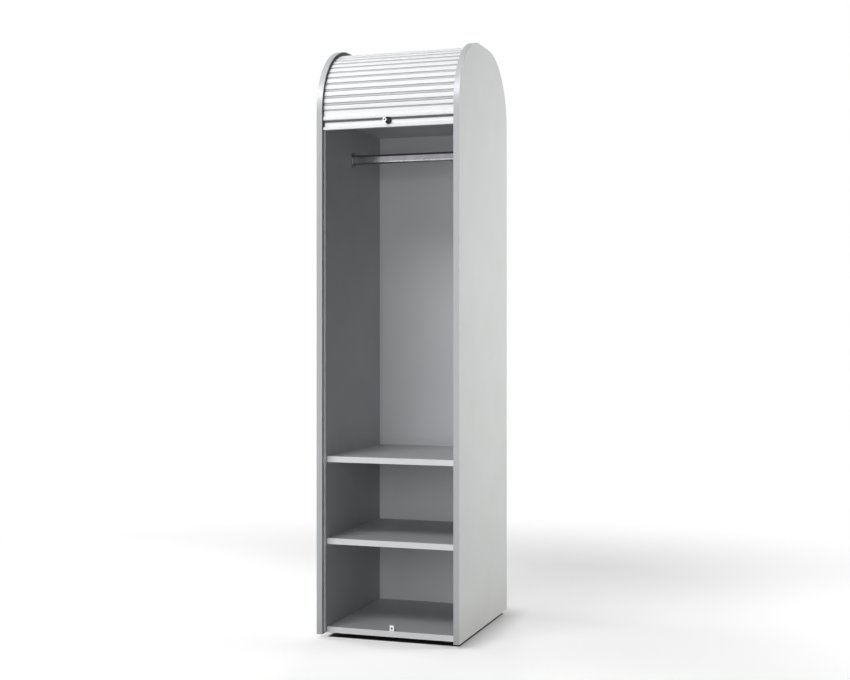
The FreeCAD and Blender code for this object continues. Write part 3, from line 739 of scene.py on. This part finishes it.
def arch_run():
    """Slats over the top, with rounded lands and grey joints. The first is narrow, as in the photograph."""
    section, land_edges = slat_section(SLAT_HALF)
    start = (SLAT_PITCH - SOLID_LAND) / 2
    last = int((ARCH_LENGTH - start) / SLAT_PITCH) - 1
    bm = bmesh.new()
    for number in range(last + 1):
        y, z, angle = arch_place(start - SLAT_SHIFT + (number + 0.5) * SLAT_PITCH)
        cosine, sine = math.cos(angle), math.sin(angle)
        outline = []
        for along, out in section:
            a = along + row_shift(number, last, along, out)
            outline.append((y + a * cosine - out * sine, z + a * sine + out * cosine))
        add_slat(bm, outline, land_edges)
    piece = piece_from("arch_run", bm, [FINISHES["white_slat"], SLAT_JOINTS])
    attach(piece, "cabinet")
    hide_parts("tambour_arch_run")


# Guide strips on the inner faces of the sides: a dark strip outside the groove over the top, painted shade on the
# lip there, a silver lip below it, and a pale bead inside the groove. Edges are metres inside the edge of the
# side.

LIP_EDGES = (0.0026, 0.0118)
LIP_THICKNESS = 0.00035
BEAD_EDGES = (0.0232, 0.0250)
BEAD_THICKNESS = 0.0014
GUIDE_FOOT = 0.0135
SHADE_STRIP_FOOT = 1.5660
ARC_STEPS = 28


def arch_line(inset, foot):
    """Points in Y and Z along the edge of a side panel, inset metres inside it, from foot to foot."""
    radius = CORNER_RADIUS - inset
    turns = [math.pi / 2 * step / ARC_STEPS for step in range(ARC_STEPS + 1)]
    front = [(FRONT_CENTRE - radius * math.cos(a), ARCH_START + radius * math.sin(a)) for a in turns]
    rear = [(REAR_CENTRE + radius * math.sin(a), ARCH_START + radius * math.cos(a)) for a in turns]
    return [(front[0][0], foot)] + front + rear + [(rear[-1][0], foot)]


def front_line(inset):
    """Both ends of an upright line, inset metres behind the front edge of a side panel."""
    return [(side_low.y + inset, GUIDE_FOOT), (side_low.y + inset, SHADE_STRIP_FOOT)]


def guide_strips(name, lines, thickness, made):
    """Thin strips between two lines on the inner faces of both sides."""
    inner_face = side_high.x
    bm = bmesh.new()
    for side in (-1, 1):
        levels = (-side * inner_face, -side * (inner_face + thickness))
        rings = [[[bm.verts.new((x, y, z)) for y, z in line] for line in lines] for x in levels]
        around = [rings[0][0], rings[0][1], rings[1][1], rings[1][0]]
        for first, second in zip(around, around[1:] + around[:1]):
            for step in range(len(first) - 1):
                bm.faces.new((first[step], first[step + 1], second[step + 1], second[step]))
        for end in (0, -1):
            bm.faces.new([line[end] for line in around])
    piece = piece_from(name, bm, [made])
    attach(piece, "cabinet")


def shutter_guides():
    # The dark strips over the top are painted shade on the lips
    shade_lines = [arch_line(inset, SHADE_STRIP_FOOT) for inset in LIP_EDGES]
    guide_strips("shade_strips_over_top", shade_lines, LIP_THICKNESS, PAINTED_SHADE_STRIP)
    lips = [front_line(inset) for inset in LIP_EDGES]
    guide_strips("guide_lips", lips, LIP_THICKNESS, FINISHES["silver_edge"])
    beads = [arch_line(inset, GUIDE_FOOT) for inset in BEAD_EDGES]
    guide_strips("guide_beads", beads, BEAD_THICKNESS, FINISHES["white_slat"])


# Slats of the front, when the shutter is down

FRONT_SLAT_HALF = 0.0046
PATH_Y = -0.2550
FIRST_SLAT = 0.01475
STORE_TOP = 1.6254
STORE_DEPTH = 0.0244
STORE_HALVINGS = 60


def level_in_store(shut_level, travel):
    """Level at rest, inside the end rail, of a point that is at shut_level when the shutter is shut."""
    low, high = 0.0, 1.0
    for _ in range(STORE_HALVINGS):
        share = (low + high) / 2
        follow = share * share * (3 - 2 * share)
        if STORE_TOP - share * STORE_DEPTH - follow * travel > shut_level:
            low = share
        else:
            high = share
    return STORE_TOP - share * STORE_DEPTH


def front_run():
    """Slats of the front, stored in the end rail at rest."""
    slide = next(joint for joint in frame["joints"] if joint["name"] == "shutter_slide")
    travel = slide["range_m"][1]
    rail_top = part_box("left_guide_shoe")[1].z - SOLID_LAP
    section, land_edges = slat_section(FRONT_SLAT_HALF)
    bm = bmesh.new()
    for number in range(round(travel / SLAT_PITCH)):
        middle = rail_top - travel + FIRST_SLAT + number * SLAT_PITCH
        levels = [level_in_store(min(middle + along, STORE_TOP), travel) for along, _ in section]
        add_slat(bm, [(PATH_Y - out, z) for (_, out), z in zip(section, levels)], land_edges)
    piece = piece_from("front_run", bm, [FINISHES["white_slat"], SLAT_JOINTS])
    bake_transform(piece)


# Key, with its bow folded beside the lock

BOW_CENTRE = -0.0050
BOW_HALVES = (0.0061, 0.0069)
BOW_THICKNESS = 0.0022
BOW_ROUND = 0.0006
BOW_CUT = BOW_ROUND * 0.3
EYE_RADIUS = 0.0029
BLADE_HALVES = (0.0011, 0.0035)
BLADE_CHAMFER = 0.0004
BLADE_TIP = 0.0020
TIP_SHARE = 0.6
KEY_SIDES = 48


def joined_rings(bm, rings, closed):
    """Faces between neighbour rings of corners, and caps on the first and last where they aren't closed."""
    corners = [[bm.verts.new(place) for place in ring] for ring in rings]
    pairs = list(zip(corners, corners[1:]))
    if closed:
        pairs.append((corners[-1], corners[0]))
    for first, second in pairs:
        for index in range(len(first)):
            after = (index + 1) % len(first)
            face = bm.faces.new((first[index], first[after], second[after], second[index]))
            face.smooth = closed
    if not closed:
        for ring in (corners[0], corners[-1]):
            bm.faces.new(ring)


def oval(halves, y, axis_z):
    """Corners of an oval round the centre of the bow."""
    turns = [2 * math.pi * side / KEY_SIDES for side in range(KEY_SIDES)]
    wide, tall = halves
    return [(BOW_CENTRE + wide * math.cos(a), y, axis_z + tall * math.sin(a)) for a in turns]


def add_bow(bm, front, axis_z):
    """Oval bow with rounded rims and a round eye."""
    back = front + BOW_THICKNESS
    outer = [(BOW_ROUND, front), (BOW_CUT, front + BOW_CUT), (0, front + BOW_ROUND)]
    outer += [(0, back - BOW_ROUND), (BOW_CUT, back - BOW_CUT), (BOW_ROUND, back)]
    inner = [(BOW_ROUND, back), (0, back - BOW_ROUND), (0, front + BOW_ROUND), (BOW_ROUND, front)]
    rings = [oval((BOW_HALVES[0] - inset, BOW_HALVES[1] - inset), y, axis_z) for inset, y in outer]
    rings += [oval((EYE_RADIUS + outset, EYE_RADIUS + outset), y, axis_z) for outset, y in inner]
    joined_rings(bm, rings, True)


def add_blade(bm, front, tip, axis_z):
    """Blade with chamfered edges, narrower at its tip."""
    rings = []
    for y, share in ((front, 1.0), (tip - BLADE_TIP, 1.0), (tip, TIP_SHARE)):
        wide, tall = BLADE_HALVES[0], BLADE_HALVES[1] * share
        quarter = [(wide, tall - BLADE_CHAMFER), (wide - BLADE_CHAMFER, tall)]
        section = quarter + [(-x, z) for x, z in reversed(quarter)]
        section += [(-x, -z) for x, z in section]
        rings.append([(x, y, axis_z + z) for x, z in section])
    joined_rings(bm, rings, False)


def folded_key():
    low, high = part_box("key")
    axis_z = (low.z + high.z) / 2
    bm = bmesh.new()
    add_bow(bm, low.y, axis_z)
    add_blade(bm, low.y + BOW_THICKNESS - BOW_ROUND, high.y, axis_z)
    piece = piece_from("folded_key", bm, [FINISHES["nickel_steel"]])
    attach(piece, "key")
    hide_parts("key")


set_camera()
set_lamps()
set_world()
set_floor()
dress_nodes()
arch_run()
shutter_guides()
front_run()
folded_key()
